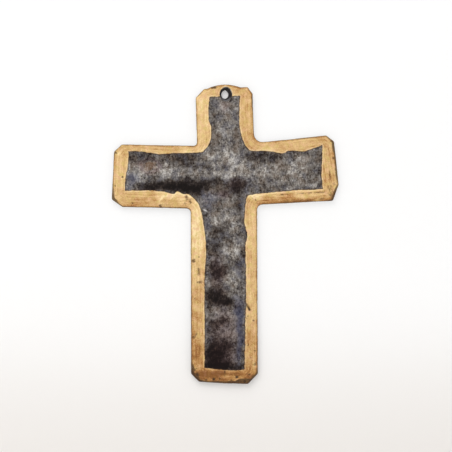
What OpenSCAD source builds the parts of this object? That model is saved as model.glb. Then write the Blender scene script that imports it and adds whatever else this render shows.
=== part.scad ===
// Small grave cross cut by hand from one iron plate, hung on a nail through its head.
//
// Frame: millimetres, +Z up, the painted front faces -Y. The origin is the centre of the
// hanging hole on the back face, so the plate fills y = -plate_t to 0 and hangs below
// the origin. Right and left are as seen from the front.
//
// Each limb is a tapered strip with its own lean. Neighbouring limbs meet in a filleted
// crotch, and every tip has its two corners snipped off.

/* [Plate] */
// Thickness of the iron plate
plate_t = 1.5; // [1.2:0.1:4]
// Rounding of the rim round the front face
front_rim_r = 0.4; // [0.1:0.05:0.6]
// Rounding of the rim round the back face
back_rim_r = 0.15; // [0.05:0.05:0.3]
// Rounding left on each snipped corner inside the front rim
corner_r = 0.3; // [0.25:0.05:1]

/* [Hanging hole] */
// Diameter of the punched hole
hole_d = 2.6; // [1.6:0.1:3]
// Width of the dish that the punch pressed round the hole
dish_w = 0.9; // [0.5:0.05:1.1]
// Depth of that dish below the front face
dish_depth = 0.7; // [0.2:0.05:0.9]
// How far the dish sits to the right of the hole
dish_right = 0.35; // [0:0.05:0.4]
// How far the dish sits below the hole
dish_down = 0.15; // [0:0.05:0.25]
// Distance from the hole's centre to the top of the bulge over it
hole_to_top = 3.2; // [3:0.1:6]
// How far the hole is to the right of the head's centre line
hole_right = 0.25; // [-2:0.05:2]

/* [Head] */
// Length of the head, from the middle of the bar to the top edge
head_l = 28.2; // [22:0.1:60]
// Width of the head where it crosses the bar
head_root_w = 18.4; // [12:0.1:40]
// Width of the head at its tip
head_tip_w = 18.3; // [15:0.1:40]
// Lean of the head to the left, in degrees
head_lean = 1.8; // [-6:0.1:6]
// How much further up the top edge reaches on the right than on the left
head_slant = 0.25; // [-2:0.05:2]
// Left corner snipped off: across the head, then down it
head_snip_left = [2.8, 2.8]; // [1.5:0.1:4]
// Right corner snipped off: across the head, then down it
head_snip_right = [1.5, 2.2]; // [1.5:0.1:4]
// Height of the bulge in the top edge over the hole
bulge_h = 1.15; // [0.2:0.05:2]
// Straight part of the top edge to the left of the bulge
top_flat_left = 0.9; // [0.6:0.1:2]
// Straight part of the top edge to the right of the bulge
top_flat_right = 2.3; // [0.6:0.1:4]

/* [Left arm] */
// Length of the left arm, from the middle of the head to its tip
left_l = 36.4; // [25:0.1:80]
// Width of the left arm where it crosses the stem
left_root_w = 20.2; // [12:0.1:40]
// Width of the left arm at its tip
left_tip_w = 20.0; // [12:0.1:40]
// How far the left arm is turned up, in degrees
left_lift = 1.3; // [-6:0.1:6]
// How much lower the left arm sits than the right arm
left_drop = 0.6; // [-2:0.05:2]
// How much further out the left tip reaches at its bottom than at its top
left_slant = 0.5; // [-2:0.05:2]
// Upper corner snipped off: down the tip, then along the arm
left_snip_top = [2.4, 2.4]; // [1.5:0.1:5]
// Lower corner snipped off: up the tip, then along the arm
left_snip_bottom = [2.3, 3.5]; // [1.5:0.1:5]

/* [Right arm] */
// Length of the right arm, from the middle of the head to its tip
right_l = 35.4; // [25:0.1:80]
// Width of the right arm where it crosses the stem
right_root_w = 19.3; // [12:0.1:40]
// Width of the right arm at its tip
right_tip_w = 21.2; // [12:0.1:40]
// How far the right arm is turned up, in degrees
right_lift = 4.5; // [-6:0.1:6]
// How much further out the right tip reaches at its bottom than at its top
right_slant = 0.6; // [-2:0.05:2]
// Upper corner snipped off: down the tip, then along the arm
right_snip_top = [2.2, 2.3]; // [1.5:0.1:5]
// Lower corner snipped off: up the tip, then along the arm
right_snip_bottom = [5.0, 2.4]; // [1.5:0.1:5]

/* [Stem] */
// Length of the stem, from the middle of the bar to the foot's edge
stem_l = 66.2; // [40:0.1:150]
// Width of the stem where it crosses the bar
stem_root_w = 21.3; // [12:0.1:40]
// Width of the stem at the foot
stem_tip_w = 21.4; // [12:0.1:40]
// Lean of the stem to the right, in degrees
stem_lean = 0.2; // [-6:0.1:6]
// How far the stem sits to the left of the head
stem_left = 0.9; // [-3:0.05:3]
// How much further down the foot reaches on the right than on the left
foot_slant = 1.1; // [-3:0.1:3]
// Left corner snipped off: across the foot, then up the stem
foot_snip_left = [2.5, 2.5]; // [1.5:0.1:5]
// Right corner snipped off: across the foot, then up the stem
foot_snip_right = [3.2, 3.5]; // [1.5:0.1:5]
// How far the foot's edge bows down in its middle
foot_bow = 0.15; // [0:0.05:2]

/* [Crotches] */
// Fillet between the head and the left arm
upper_left_r = 1.0; // [0.5:0.1:4]
// Fillet between the head and the right arm
upper_right_r = 2.7; // [0.5:0.1:4]
// Fillet between the stem and the left arm
lower_left_r = 1.4; // [0.5:0.1:4]
// Fillet between the stem and the right arm
lower_right_r = 1.7; // [0.5:0.1:4]

/* [Hidden] */

iron = "#6b625d";
arc_steps = 4;      // flats round each snipped corner and crotch
rim_steps = 3;      // flats across each rounded rim
curve_steps = 10;   // flats along the bulge, and along the foot's edge
bore_fn = 64;
overshoot = 1;      // how far a hole's cutter runs past a face
rim_clear = 0.05;   // how far a rim's cutter stands off the plate

// A limb, looking outward along it from the crossing: direction, shift to its left, length,
// root width, tip width, how much further its left corner reaches than its right, the snips
// [across, along] at its right and left corners, and the fillet of the crotch on its left.
head = [90 + head_lean, 0, head_l, head_root_w, head_tip_w, -head_slant,
        head_snip_right, head_snip_left, upper_left_r];
left_arm = [180 - left_lift, left_drop, left_l, left_root_w, left_tip_w, left_slant,
            left_snip_top, left_snip_bottom, lower_left_r];
stem = [270 + stem_lean, -stem_left, stem_l, stem_root_w, stem_tip_w, foot_slant,
        foot_snip_left, foot_snip_right, lower_right_r];
right_arm = [right_lift, 0, right_l, right_root_w, right_tip_w, -right_slant,
             right_snip_bottom, right_snip_top, upper_right_r];

// Unit vectors out along a limb, and to its left.
function along(limb) = [cos(limb[0]), sin(limb[0])];
function across(limb) = [-sin(limb[0]), cos(limb[0])];

// The hole is the origin, so it places the point where head and bar cross.
hole_above_bar = head_l + bulge_h - hole_to_top;
crossing = across(head) * hole_right - along(head) * hole_above_bar;

// A limb's point at distance s from the crossing, on its right (-1) or left (1) edge.
function edge_point(limb, s, side) =
    let (half_w = (limb[3] + (limb[4] - limb[3]) * s / limb[2]) / 2)
    crossing + along(limb) * s + across(limb) * (limb[1] + side * half_w);

// A limb's root and its tip corner on that edge, before the corner is snipped.
function root(limb, side) = edge_point(limb, 0, side);
function tip(limb, side) = edge_point(limb, limb[2] + side * limb[5] / 2, side);

// Where the line through a and b meets the line through c and d.
function meet(a, b, c, d) =
    let (u = b - a, v = d - c, w = c - a)
    a + u * (w[0] * v[1] - w[1] * v[0]) / (u[0] * v[1] - u[1] * v[0]);

// The crotch between a limb and the next one on its left.
function crotch(limb, next) = meet(root(limb, 1), tip(limb, 1), root(next, -1), tip(next, -1));

// The point at distance d from a towards b.
function toward(a, b, d) = a + (b - a) / norm(b - a) * d;

// Fillet of a snipped corner, down the plate's edge.
wall_r = front_rim_r + corner_r;

// The corners [point, fillet] of a limb, from its right edge round its tip to the next
// crotch. shape gives the points between the two snips.
function limb_corners(limb, next, shape) =
    let (right = tip(limb, -1),
         left = tip(limb, 1),
         from = toward(right, left, limb[6][0]),
         to = toward(left, right, limb[7][0]))
    concat(
        [[toward(right, root(limb, -1), limb[6][1]), wall_r], [from, wall_r]],
        [for (p = shape(from, to)) [p, 0]],
        [[to, wall_r], [toward(left, root(limb, 1), limb[7][1]), wall_r]],
        [[crotch(limb, next), limb[8]]]);

// Points from a to b along a parabola that bows to the right of that line by h.
function parabola(a, b, h) =
    let (d = toward([0, 0], b - a, 1), out = [d[1], -d[0]])
    [for (i = [0 : curve_steps])
        let (u = i / curve_steps)
        a + (b - a) * u + out * h * 4 * u * (1 - u)];

straight = function (a, b) [];
bulged = function (a, b)
    parabola(toward(a, b, top_flat_right), toward(b, a, top_flat_left), bulge_h);
bowed = function (a, b)
    let (p = parabola(a, b, foot_bow))
    [for (i = [1 : curve_steps - 1]) p[i]];

corners = concat(
    limb_corners(head, left_arm, bulged),
    limb_corners(left_arm, stem, straight),
    limb_corners(stem, right_arm, bowed),
    limb_corners(right_arm, head, straight));

// The arc of radius r that rounds corner b of the path a, b, c.
function rounded(a, b, c, r) =
    let (u = toward([0, 0], a - b, 1),
         v = toward([0, 0], c - b, 1),
         half = acos(u * v) / 2,
         centre = toward(b, b + u + v, r / sin(half)),
         start = b + u * r / tan(half) - centre,
         sweep = -sign(u[0] * v[1] - u[1] * v[0]) * (180 - 2 * half))
    [for (i = [0 : arc_steps])
        let (w = sweep * i / arc_steps)
        centre + [start[0] * cos(w) - start[1] * sin(w), start[0] * sin(w) + start[1] * cos(w)]];

// The plate's outline, anticlockwise as seen from the front.
count = len(corners);
outline = [for (i = [0 : count - 1])
    each corners[i][1] == 0
        ? [corners[i][0]]
        : rounded(corners[(i + count - 1) % count][0], corners[i][0],
                  corners[(i + 1) % count][0], corners[i][1])];

// The outline moved inward by d, with its corners mitred.
function inset(d) =
    let (n = len(outline),
         inward = [for (i = [0 : n - 1])
             let (e = toward([0, 0], outline[(i + 1) % n] - outline[i], 1))
             [-e[1], e[0]]])
    [for (i = [0 : n - 1])
        let (before = inward[(i + n - 1) % n], after = inward[i])
        outline[i] + (before + after) / (1 + before * after) * d];

// The plate as it comes from the shears, with square edges.
module blank() {
    rotate([90, 0, 0])
        linear_extrude(plate_t)
            polygon(outline);
}

// What is cut away to round one rim to radius r. It is a closed ring that follows the
// outline; its section is [inset, depth below the face at face_y], and side is the way out
// of that face. Its first and last flats run on past the plate.
module rim_cutter(face_y, side, r) {
    n = len(outline);
    step = 90 / rim_steps;
    run_on = rim_clear / tan(step / 2);
    section = concat(
        [[r + run_on, -rim_clear]],
        [for (i = [1 : rim_steps - 1]) r * [1 - sin(i * step), 1 - cos(i * step)]],
        [[-rim_clear, r + run_on], [-rim_clear, -rim_clear]]);
    m = len(section);
    points = [for (c = section) for (p = inset(c[0])) [p[0], face_y - side * c[1], p[1]]];
    faces = [for (k = [0 : m - 1]) for (i = [0 : n - 1])
        let (next_k = (k + 1) % m,
             next_i = (i + 1) % n,
             quad = [k * n + i, k * n + next_i, next_k * n + next_i, next_k * n + i])
        side > 0 ? quad : [quad[3], quad[2], quad[1], quad[0]]];
    polyhedron(points, faces);
}

// The straight hole that the nail passes through.
module nail_hole() {
    rotate([90, 0, 0])
        translate([0, 0, -overshoot])
            cylinder(d = hole_d, h = plate_t + 2 * overshoot, $fn = bore_fn);
}

// The dish round the hole: a cone that opens towards the front and runs on past the face.
module punch_dish() {
    slope = dish_w / dish_depth;
    translate([dish_right, dish_depth - plate_t, -dish_down])
        rotate([90, 0, 0])
            cylinder(r1 = hole_d / 2, r2 = hole_d / 2 + dish_w + slope * overshoot,
                     h = dish_depth + overshoot, $fn = bore_fn);
}

module cross_plate() {
    color(iron)
        difference() {
            blank();
            rim_cutter(-plate_t, -1, front_rim_r);
            rim_cutter(0, 1, back_rim_r);
            nail_hole();
            punch_dish();
        }
}

cross_plate();
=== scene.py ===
import math

import bmesh
import bpy
import numpy as np
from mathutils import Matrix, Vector, geometry, kdtree


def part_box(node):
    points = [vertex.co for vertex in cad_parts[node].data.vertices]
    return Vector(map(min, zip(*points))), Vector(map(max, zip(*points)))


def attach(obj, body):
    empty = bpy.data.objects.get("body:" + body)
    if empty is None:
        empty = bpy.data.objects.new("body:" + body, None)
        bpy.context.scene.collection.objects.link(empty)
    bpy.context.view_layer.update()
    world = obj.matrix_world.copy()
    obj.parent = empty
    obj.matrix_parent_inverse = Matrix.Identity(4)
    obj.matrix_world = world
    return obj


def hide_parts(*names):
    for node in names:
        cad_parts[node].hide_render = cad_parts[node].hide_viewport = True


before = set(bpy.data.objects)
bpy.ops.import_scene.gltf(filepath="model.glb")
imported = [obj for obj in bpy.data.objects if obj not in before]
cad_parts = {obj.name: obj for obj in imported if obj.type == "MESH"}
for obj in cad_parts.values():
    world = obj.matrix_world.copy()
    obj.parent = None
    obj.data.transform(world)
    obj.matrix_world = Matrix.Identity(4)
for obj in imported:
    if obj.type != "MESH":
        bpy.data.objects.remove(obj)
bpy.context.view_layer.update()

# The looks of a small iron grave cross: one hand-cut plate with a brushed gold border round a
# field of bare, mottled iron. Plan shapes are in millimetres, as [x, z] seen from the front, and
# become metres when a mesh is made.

MM = 0.001

# ---- sizes, in millimetres

front_face = 1.45  # mean depth of the front face in front of the back face
front_rim_r = 0.4  # rounding of the front rim
back_rim_r = 0.15  # rounding of the back rim
front_rim_flats = 5  # flats across the rounded front rim
back_rim_flats = 3  # flats across the rounded back rim
wall_depths = (0.8, 0.5)  # depths of the rings of points on the sheared wall
bore_depth = 0.45  # depth of the ring in the bore, and where the CAD's outline is read
wobble = 0.05  # how far the hand-cut edge strays from the drawn outline
paint_film = 0.06  # thickness of the border's paint
outline_pitch = 0.25  # spacing of the points round the outline
front_pitch = 0.26  # spacing of the points on the front face
back_pitch = 0.6  # spacing of the points on the back face
path_pitch = 0.1  # spacing of the points on the paths that distances are measured to
straight_side = 9  # the plate's straight sides are the ones longer than this
corner_slack = 0.2  # points this near the line past them are no corners
ledge_steps = (-0.16, -0.03, 0.1)  # rings of points beside the paint's inner edge
flats_on_front = 2  # flats of the front rim that lie with the front face on the bake's map

# The border of paint. Each straight side of the plate, anticlockwise from the top, has the points
# that the paint's inner edge runs through: how far out along the side, and how far in from it. Out
# is measured from the crotch on a limb's two long sides, and from the middle on a limb's end.
BORDER = {
    "head_left": ((15.5, 4.4), (12.1, 4.1), (8.1, 4), (6.1, 4.7), (4.3, 4.8), (2.1, 4.6), (0, 3.8)),
    "left_top": (
        (-2.2, 1.7), (-1.3, 2.1), (1.3, 2.3), (7.5, 2.6), (11.9, 2.9), (17.8, 2.2), (21.8, 2.2),
    ),
    "left_end": ((-3.5, 4.6), (-0.5, 4.2), (1.6, 4)),
    "left_bottom": (
        (21.1, 5.1), (15.9, 5.3), (10.5, 5.4), (6, 4.7), (5.2, 4.8), (4.3, 5.4), (2.3, 4.7), (0.4, 4.5),
    ),
    "stem_left": (
        (-2.7, 1.8), (-0.8, 2.9), (2.9, 3.9), (5.8, 4.4), (9.6, 4.8), (13.5, 5), (17.5, 4.8), (20.8, 4.5),
        (29.2, 4.4), (38.1, 4.4), (48.4, 4.3), (50.9, 4.2),
    ),
    "foot": ((-2.8, 4.3), (0, 4.1), (3.1, 4.1), (6.2, 4.4)),
    "stem_right": (
        (52.5, 4.1), (47.6, 4.1), (41.4, 3.9), (36.3, 3.9), (33.2, 3.7), (22, 3.7), (17.6, 3.8),
        (13.1, 3.8), (9.6, 3.3), (7.6, 3.8), (5.3, 4.2), (4.1, 4.1), (-0.4, 3.8), (-2.4, 3.4),
    ),
    "right_bottom": ((-2, 3.4), (2.9, 3.7), (8.2, 3.9), (12.2, 4), (17.7, 3.9), (21.2, 3.9)),
    "right_end": ((-3.5, 5.1), (0.1, 4.6), (3.8, 4)),
    "right_top": (
        (21.5, 2.9), (20.1, 3.3), (18.2, 3.8), (15.9, 4.4), (13.6, 4.1), (10.5, 3.6), (9.5, 4.1), (8, 4.1),
        (5.4, 3.3), (2.6, 2.9), (-0.5, 2.5), (-2, 1.8),
    ),
    "head_right": ((0.1, 3.2), (3.1, 4.1), (6.3, 4.5), (11.5, 4.3), (15.2, 4)),
}
# The brush ran on round the crotch between two such sides, and turned a corner after each group.
STROKES = (("head_left", "left_top"), ("left_end",), ("left_bottom", "stem_left"), ("foot",),
           ("stem_right", "right_bottom"), ("right_end",), ("right_top", "head_right"))

# Soft patches on the plate: right and up from the crossing, half width, half height, and how much.
# They say how light (+) or dark (-) the bare iron is, where it has blue temper colour and brown rust, how
# deep the gold has turned, with a painted sheen where it is lighter at the bend of the stem's left border,
# and where the rim has worn through to dark metal.
PATCHES = {
    "tone": (
        # left arm
        (-29, 5.5, 4, 2, -0.2), (-20, 6, 12, 1.6, -0.42), (-31, 3, 1.6, 3, 0.15),
        (-30.5, -3.5, 2.2, 1.6, 0.3), (-26.8, -1.2, 1.8, 1.3, 0.6), (-20.5, 1.5, 1.5, 1.5, 0.3),
        (-18.7, 5, 1.3, 1.8, 0.35), (-17.5, 1.3, 7.5, 1.4, 0.5), (-22, 1.5, 8, 4, 0.15),
        (-12.5, 4.2, 4.5, 1.8, -0.5), (-10.5, 6.4, 3.5, 1.2, -0.35), (-8, 0.6, 4, 1, 0.25),
        (-6, 1.8, 2.6, 1.2, -0.35), (-2.6, 4.2, 1.2, 1.4, 0.35), (-5.3, 2.2, 1.5, 1.5, -0.5),
        (-24, -3.8, 4.8, 1.7, -0.9), (-17, -3, 8, 2.2, -0.7), (-10, -3, 7, 2, -0.8),
        (-12.5, -4.6, 6, 1.2, -0.4), (-9, -5.8, 1.6, 1.6, -0.5),
        # crossing
        (1.5, 6.5, 2.6, 2.6, 0.65), (-4.2, 6.8, 1.4, 1.4, 0.4), (-1, 2, 6, 3, 0.25),
        (2.4, -0.5, 3.4, 1.2, 0.6), (0.4, 2.5, 1.3, 1.6, -0.8), (-3.5, -1.5, 3, 1.5, -0.6),
        (4, -2.9, 2.8, 2, -0.95), (2.4, -5, 2, 1.8, -0.55), (-0.6, -3.2, 1.8, 1.4, -0.3),
        (-0.5, -6.3, 2, 1.4, -0.45), (5.4, 9.2, 1, 1.6, -0.5),
        # right arm
        (11.6, 6.2, 4.4, 1.6, -0.75), (17.5, 6, 2, 1.4, -0.15), (8, 6, 2.4, 1.2, -0.25),
        (6.6, 3.8, 2.4, 1.5, 0.45), (23, 3.2, 3.4, 2.4, 0.5), (12, 1.5, 5, 1.6, 0.35),
        (16.3, -1, 1.4, 1.2, 0.3), (20.6, -1.6, 1.8, 1.8, 0.45), (18.5, 3, 1.5, 1.6, -0.25),
        (30, 4, 2, 4, -0.3), (28, 7, 2.5, 1.2, -0.4), (26.9, 3, 1.2, 1.4, -0.4),
        (18.5, -3.6, 1.8, 1.3, -0.5), (6.8, -2.6, 1.4, 1.4, 0.25), (10, -4, 4, 1.6, -0.2),
        # head
        (-3.5, 20, 1.6, 3.5, -0.35), (0.5, 16, 3, 4.5, 0.18), (3.6, 13, 1.4, 4.5, -0.3),
        (-1, 22.5, 2, 1.4, 0.15),
        # stem
        (-2.6, -9.2, 1.6, 1.1, -0.4), (4.8, -9.8, 1.3, 2.4, -0.85), (-1.8, -13.8, 2.6, 1.6, 0.5),
        (3, -13.6, 1.6, 1.6, 0.25), (-3.4, -7.8, 1.4, 1.1, 0.45), (2.6, -16, 2.4, 1.5, 0.4),
        (-1.8, -17.6, 2.4, 1.9, -0.75), (-2.8, -23, 2, 3.6, -0.6), (-4.2, -24.6, 1.6, 1.2, -0.35),
        (-4.2, -27.8, 1.2, 1.1, 0.3), (2.4, -24.8, 2.6, 2.2, 0.75), (1.8, -28.9, 2.2, 1, -0.6),
        (-2.3, -31, 2.3, 3.2, -0.9), (2.3, -33.3, 2.2, 2.2, 0.5), (-4.6, -33.2, 1.2, 1.4, -0.4),
        (0.8, -35.6, 1.3, 0.9, -0.3), (-3, -38.8, 3.3, 2.6, -1.4), (1, -40.6, 1.7, 1.2, -1.1),
        (2.8, -38, 1.4, 1.8, 0.3), (-4, -43.2, 1.5, 1, 0.2), (-0.9, -43.2, 1.3, 1, -0.5),
        (1.2, -44.6, 1.8, 1.3, 0.4), (2.6, -48.4, 1.6, 1.3, -0.4), (-1.2, -46.8, 2.5, 1.6, -0.85),
        (2, -51, 1.6, 2, 0.1), (-3.2, -50.5, 2.6, 3.4, -0.45), (0.3, -53.5, 1.6, 1.6, -0.7),
        (-2.8, -57.3, 4.2, 4, -1.35), (3.6, -56.5, 1.4, 3, -0.15), (0, -61.2, 7, 1.4, -1.3),
        (-5, -46, 1, 6, -0.35), (5.6, -24, 0.9, 10, -0.3), (5.5, -48, 1, 8, -0.25),
    ),
    "blue": (
        (-29.6, -0.8, 2.6, 1.8, 0.75), (-30.5, -4, 2, 1.4, 0.4), (0.6, 3.2, 1.8, 1.8, 0.4),
        (-5.5, -7.5, 3, 3, 0.6), (5, -28, 1.4, 5, 0.5), (4.6, -42, 1.6, 3.5, 0.65),
        (4.8, -49, 1.5, 6, 0.75), (4.8, -57, 1.2, 4, 0.55), (-5, -15, 1.2, 5, 0.3), (6, -8, 2, 4, 0.4),
    ),
    "brown": (
        (-23.6, 2.6, 2.6, 1.5, 1.1), (-24.5, 4.2, 3.5, 1.2, 0.4), (3.5, -2.8, 3.2, 2, 0.25),
        (-0.5, -6.3, 2.2, 1.4, 0.35), (-0.5, -50, 5, 9, 0.3), (0, 22, 1.6, 2.4, 0.25),
        (-2.5, -31, 3, 6, 0.3), (-1, -58.5, 5, 3.5, 0.25),
    ),
    "age_and_sheen": (
        (-7, 18, 3, 9, -0.25), (0, 27.5, 6, 1.8, 0.15), (7, 16, 3, 12, 0.05), (-9, -18, 3, 12, -0.3),
        (8.5, -20, 3, 14, -0.1), (-20, -9, 12, 1.6, 0.05), (20, -8.7, 14, 1.4, 0.28),
        (18, -7.2, 9, 1.2, 0.06), (9.2, -6.6, 2.4, 1.2, -0.6), (-9, -40, 3, 8, 0.1), (-9, -57, 3, 8, 0.25),
        # In the next line, (-9.2, -14) is a painted sheen on the gold, at the bend of the stem's left
        # border.
        (8.8, -57, 3, 9, 0.2), (0, -64.5, 12, 2.6, 0.36), (34, 0, 2.5, 9, 0.1), (-9.2, -14, 1.6, 5, -0.2),
        (8.6, -53, 2, 3, -0.15), (-34, 1, 2.6, 7, -0.1), (-16, -6.6, 3, 1, -0.25),
        (-4, -63.4, 4.5, 1, 0.35), (3.4, -64.6, 3.4, 0.9, -0.12),
    ),
    "wear": (
        (-36.5, -8, 2.6, 3, 1), (-20, -10.6, 14, 0.9, 0.25), (-36, 8, 1.4, 2, 0.4),
        (-9.6, -65, 2.8, 2.2, 1.1), (6.3, -66.4, 3.8, 1.6, 1.2), (10, -63.5, 2, 1.6, 0.6),
        (0, -66.2, 12, 0.8, 0.7), (35.4, 9.6, 1.6, 2.4, 1.1), (35.8, 3, 0.8, 7, 0.7),
        (35.6, -6.4, 1.6, 2.6, 0.9), (-11.4, -50, 0.8, 16, 0.3), (-3.4, 28.4, 0.6, 0.6, 1.5),
        (6.5, -65.5, 2.2, 0.9, 2.6), (-10.3, -62, 0.6, 1.6, 1), (9.6, 24, 1.6, 2, 0.5),
        (24, 12, 6, 1, 0.25), (11.6, -48, 0.8, 14, 0.15),
    ),
}
# Lines in the paint: depth of tone, half width, and the points each runs through. Dark ones are scratches
# and drips of scale, apart from a painted shadow under the fold on the left arm's underside. Pale ones,
# with a negative tone, are ridges the brush left and that fold: raised in the relief, and painted paler as
# painted highlights.
LINES = (
    (1.4, 0.5, (6.3, -39.4), (6.8, -41), (7.2, -41.8)), (1.4, 0.36, (7.1, -41.5), (8, -43.1)),
    (1, 0.3, (6.6, -45.2), (7.1, -45.8)),
    # The fold in the paint on the left arm's underside comes next: pale lines along it that are painted
    # highlights, a brown patch, and a painted shadow under it, from (-19.2, -7.8).
    (-1.2, 0.38, (-21, -8.2), (-19.6, -6.6), (-16.4, -6), (-15.4, -5.4), (-13.4, -6), (-10.9, -6.8)),
    (-0.9, 0.6, (-18.6, -6.4), (-16.8, -6.7)), (0.55, 0.7, (-20.6, -9.4), (-17.6, -9.5)),
    (0.4, 0.4, (-19.2, -7.8), (-15.8, -7.2)), (0.75, 0.34, (33.5, 1.6), (33.8, -1.2), (34, -4)),
    (0.5, 0.22, (33, 9), (33.4, 4)), (0.8, 0.45, (33.1, -3.6), (34.1, -6.2)),
    (0.8, 0.45, (33.9, -3.2), (34.8, -5.4)), (1, 0.32, (32.6, -5.6), (34.4, -6.7)),
    (0.6, 0.9, (33.6, -4.2), (34.4, -6.4)), (0.7, 0.5, (18, -8.3), (25, -8), (31.5, -7.4)),
    (0.5, 0.4, (10.5, -9.1), (15, -8.8)), (0.9, 0.28, (18, -6.1), (26, -5.6), (32, -5.3)),
    (-0.6, 0.3, (12, -6), (20, -5.2), (31, -4.6)), (-0.35, 0.45, (22, -6.8), (31, -6.1)),
    (1, 0.58, (-8.5, -29.2), (-8.2, -31.6)), (0.85, 0.75, (-8.6, -34.3), (-7.6, -33.9)),
    (0.9, 0.26, (0.1, -62.4), (0, -64.2)), (0.9, 0.3, (-1.4, -65.8), (1.4, -65.7)),
    (0.45, 0.5, (-4, -63.2), (4, -63.5)), (0.9, 0.35, (-9.5, -51.6), (-8.9, -50.3)),
    (0.6, 0.16, (8.7, -59.6), (7.7, -61.4), (6.9, -62.4)), (0.5, 0.2, (3.4, 28.3), (7.6, 27.2)),
    (-0.6, 0.4, (-35, 7.6), (-33, 6.4)), (0.45, 0.3, (-8.6, 5.9), (-5.6, 12)),
)
# Specks of rust and dirt in the paint: side, out along it, in from it, radius and depth of tone.
SPECKS = {
    "left_end": ((0.3, 3.1, 0.32, 1), (3.3, 0.9, 0.3, 0.8), (-7.3, 0.6, 0.4, 0.9)),
    "left_bottom": (
        (18.5, 1.2, 0.4, 0.8), (1.35, 3.85, 0.55, 0.85), (9.6, 0.7, 0.55, 0.9), (1.2, 3, 0.48, 0.65),
        (0.2, 2.85, 0.42, 0.65), (0, 2.2, 0.5, 0.75), (1.7, 1.7, 0.5, 0.5),
    ),
    "stem_left": (
        (-2, 0.2, 0.35, 0.8), (16.6, 0.9, 0.62, 0.9), (15.4, 2.7, 0.28, 0.7), (19.2, 2.6, 0.26, 0.9),
        (19.8, 2.5, 0.28, 0.9), (20.4, 2.7, 0.24, 0.8), (28.7, 1.3, 0.28, 0.7), (41, 0.9, 0.55, 0.8),
        (51.5, 1, 0.55, 0.9), (51, 1.8, 0.3, 0.8),
    ),
    "stem_right": (
        (-1.6, 0.6, 0.35, 0.7), (-2.1, 1.6, 0.28, 0.6), (36.9, 1.3, 0.3, 0.8), (35.6, 3.1, 0.28, 0.7),
        (44.8, 3, 0.28, 1), (44.3, 3, 0.22, 0.8), (46.6, 0.8, 0.35, 0.8), (50.9, 0.8, 0.6, 0.7),
        (48.9, 2.2, 0.3, 0.6),
    ),
    "foot": (
        (-3.3, 1, 0.5, 1.2), (-1.3, 1.2, 0.35, 1), (0.2, 3.5, 0.35, 1.1), (4.1, 2, 0.5, 1.2),
        (6.7, 0.7, 0.8, 1.1), (5.4, 0.6, 0.65, 1), (-8.6, 2.2, 0.7, 1.1), (2.4, 0.8, 0.4, 0.9),
        (-5.6, 0.7, 0.45, 0.9), (8, 3, 0.35, 0.9),
    ),
    "right_end": ((1.7, 0.7, 0.45, 0.8), (7.1, 0.6, 0.5, 0.8), (-6.6, 1.3, 0.55, 0.5)),
    "right_bottom": ((23.8, 1.4, 0.7, 0.5),),
    "head_left": ((18.4, 5.4, 0.45, 0.9), (18.8, 4.9, 0.3, 0.8)),
    "right_top": ((12.2, 0.5, 0.4, 0.4),),
    "head_right": ((8.4, 3.6, 0.3, 0.4),),
}
# A painted highlight, a glint on the iron beside the left crotch: out along the stem, in from it.
GLINT = (("stem_left", 0.2, 4.3), ("stem_left", 0.7, 5.2))

# The punched hole and the dish that the punch left round it. The hole is centred on the origin.
hole_r = 1.12  # half the hole's width
hole_tall = 1.2  # height of the hole, as a share of its width
hole_narrows = 0.22  # how much narrower the hole is near its top
dish_half = (1.97, 2.33)  # half the dish's width and height
dish_centre = (0.36, 0.02)  # right of and above the hole's centre
dish_bottom = 0.8  # depth of the dish's inner edge in front of the back face
lip = 0.06  # height of the burr round the dish
hole_points, dish_rings = 80, 9
collar = (1.03, 1.075)  # rings of points just outside the dish's lip, as shares of its reach
bore_flare = (1.01, 1.02, 1.08)  # how much wider the hole is in the bore and at the back

# ---- smooth random relief


def noise(points, size, seed):
    """Smooth random values from -1 to 1 over [x, z] points, in lumps about `size` across."""
    table = np.random.default_rng(seed).uniform(-1, 1, (64, 64))
    at = np.asarray(points) / size
    cell = np.floor(at).astype(int)
    part = at - cell
    part = part * part * (3 - 2 * part)
    i, j = (cell % 64).T
    i_next, j_next = (i + 1) % 64, (j + 1) % 64
    low = table[i, j] * (1 - part[:, 0]) + table[i_next, j] * part[:, 0]
    high = table[i, j_next] * (1 - part[:, 0]) + table[i_next, j_next] * part[:, 0]
    return low * (1 - part[:, 1]) + high * part[:, 1]


def layered(points, size, seed, layers=3):
    """Noise with finer noise on it, each layer half the size and half the height of the last."""
    total = sum(noise(points, size / 2 ** k, seed + k) / 2 ** k for k in range(layers))
    return total / (2 - 2 ** (1 - layers))


def eased(x, low, high):
    """0 up to low, 1 from high on, and a smooth rise between."""
    t = np.clip((x - low) / (high - low), 0, 1)
    return t * t * (3 - 2 * t)


def bump_at(distance, width):
    """1 at distance 0, falling smoothly to nothing past width."""
    return np.exp(-(distance / width) ** 2)


# ---- the plate's plan


def unit(v):
    """A vector, or each row of an array, at length 1."""
    return v / np.linalg.norm(v, axis=-1, keepdims=True)


def circle(count):
    """The points of a circle of radius 1, anticlockwise from its right."""
    turn = np.arange(count) * 2 * math.pi / count
    return np.stack([np.cos(turn), np.sin(turn)], axis=1)


def finder(points):
    """A tree that finds the nearest of the points."""
    tree = kdtree.KDTree(len(points))
    for k, (x, z) in enumerate(points):
        tree.insert((x, z, 0), k)
    tree.balance()
    return tree


def meet(a, u, b, v):
    """Where the line through a along u meets the line through b along v."""
    w = b - a
    return a + u * (w[0] * v[1] - w[1] * v[0]) / (u[0] * v[1] - u[1] * v[0])


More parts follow.
